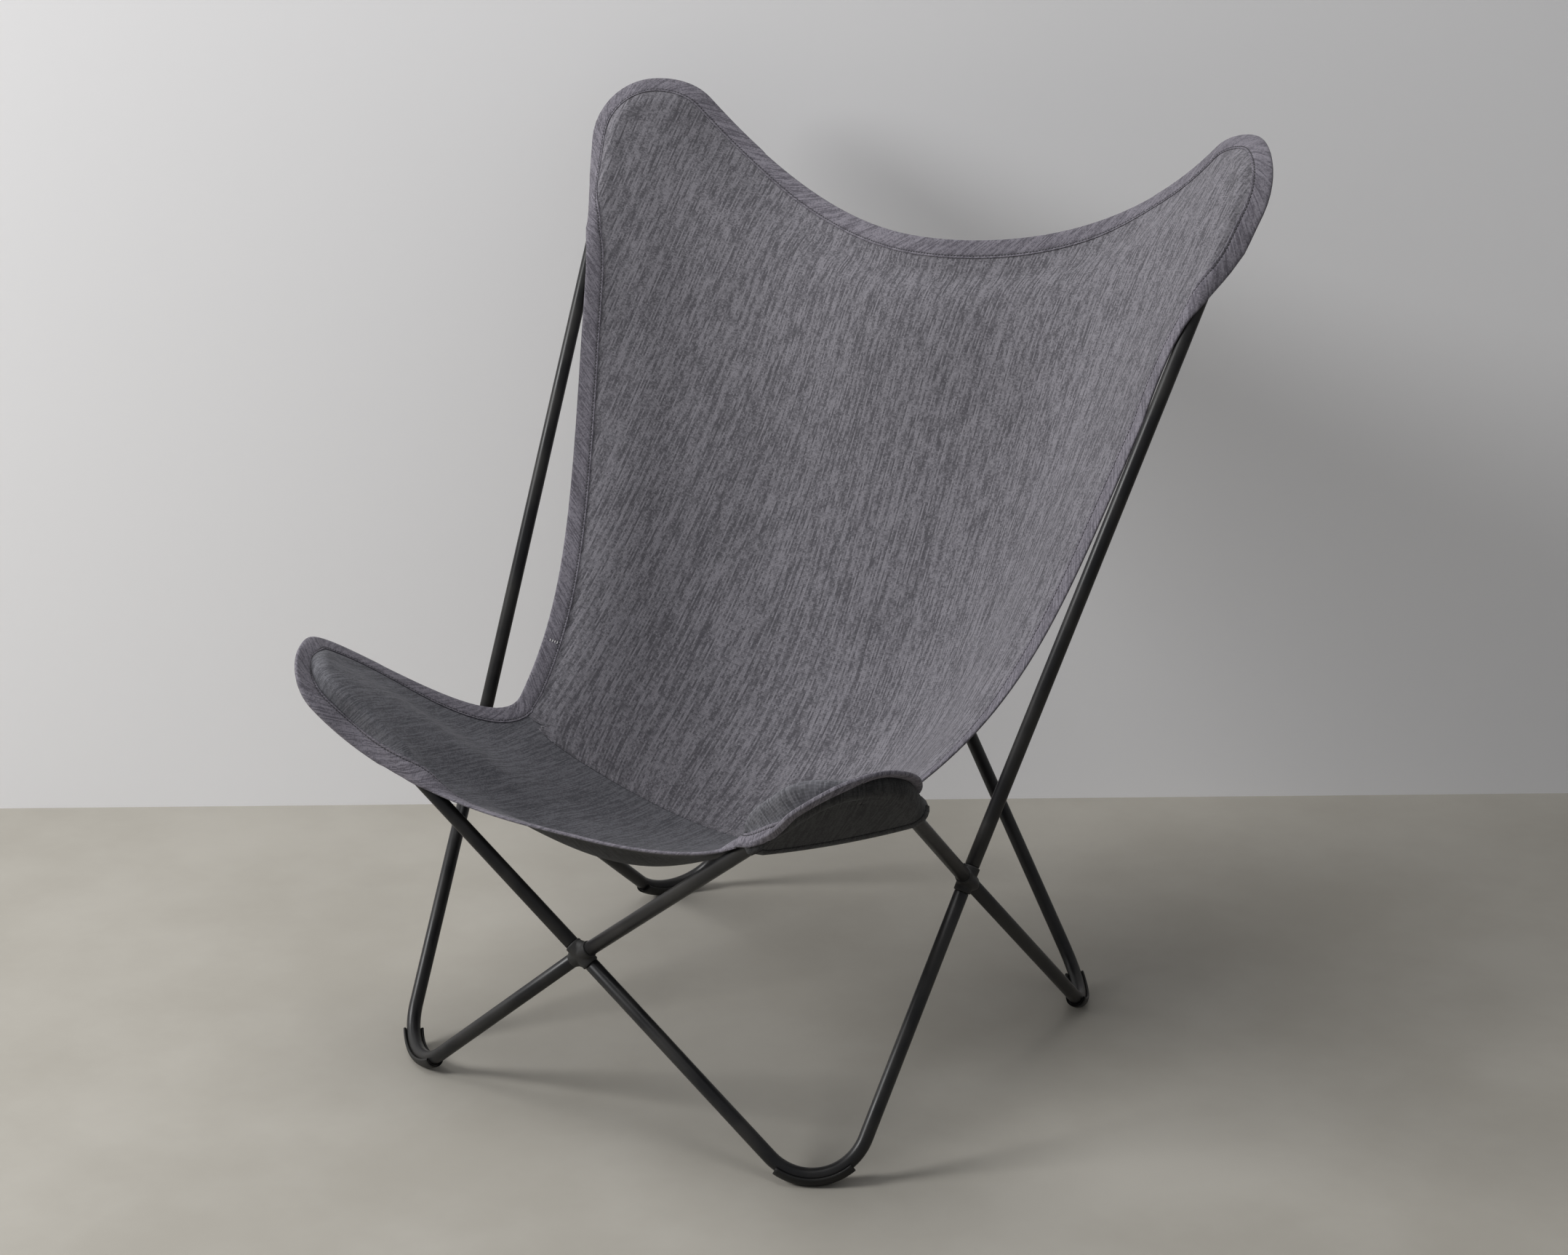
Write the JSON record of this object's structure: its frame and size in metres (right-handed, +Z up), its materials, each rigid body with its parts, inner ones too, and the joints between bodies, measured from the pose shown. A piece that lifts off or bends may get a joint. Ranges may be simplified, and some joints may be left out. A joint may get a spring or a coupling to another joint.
{
  "type": "butterfly sling chair",
  "caption": "Butterfly lounge chair: a grey cloth sling with bound edges and corner pockets hung on a knock-down frame of bent black steel tubes plugged into cast crosses.",
  "frame": {"origin": "on the floor, under the middle of the chair's outer box", "axes": "+X to the right of someone who looks at the chair's front, -Y the way the sitter faces, +Z up"},
  "size_m": [0.7936, 0.7332, 0.8936],
  "materials": {
    "tube_paint": "satin black powder coat",
    "cross_casting": "black, fine matte grain",
    "glide_plastic": "black, matte",
    "sling_cloth": "two-tone grey outdoor weave",
    "binding_tape": "bias-cut grey weave"
  },
  "bodies": {
    "root": {"wing_tube_front_left": "tube_paint", "wing_tube_back_left": "tube_paint", "foot_tube_front_left": "tube_paint", "foot_tube_rear_left": "tube_paint", "foot_glide_front_left": "glide_plastic", "foot_glide_rear_left": "glide_plastic", "corner_pocket_front_left": "sling_cloth", "corner_pocket_back_left": "sling_cloth", "cross_left": "cross_casting", "wing_tube_front_right": "tube_paint", "wing_tube_back_right": "tube_paint", "foot_tube_front_right": "tube_paint", "foot_tube_rear_right": "tube_paint", "foot_glide_front_right": "glide_plastic", "foot_glide_rear_right": "glide_plastic", "corner_pocket_front_right": "sling_cloth", "corner_pocket_back_right": "sling_cloth", "cross_right": "cross_casting", "cross_front": "cross_casting", "cross_back": "cross_casting", "sling_back_panel": "sling_cloth", "sling_seat_panel": "sling_cloth", "edge_binding": "binding_tape"}
  },
  "joints": []
}
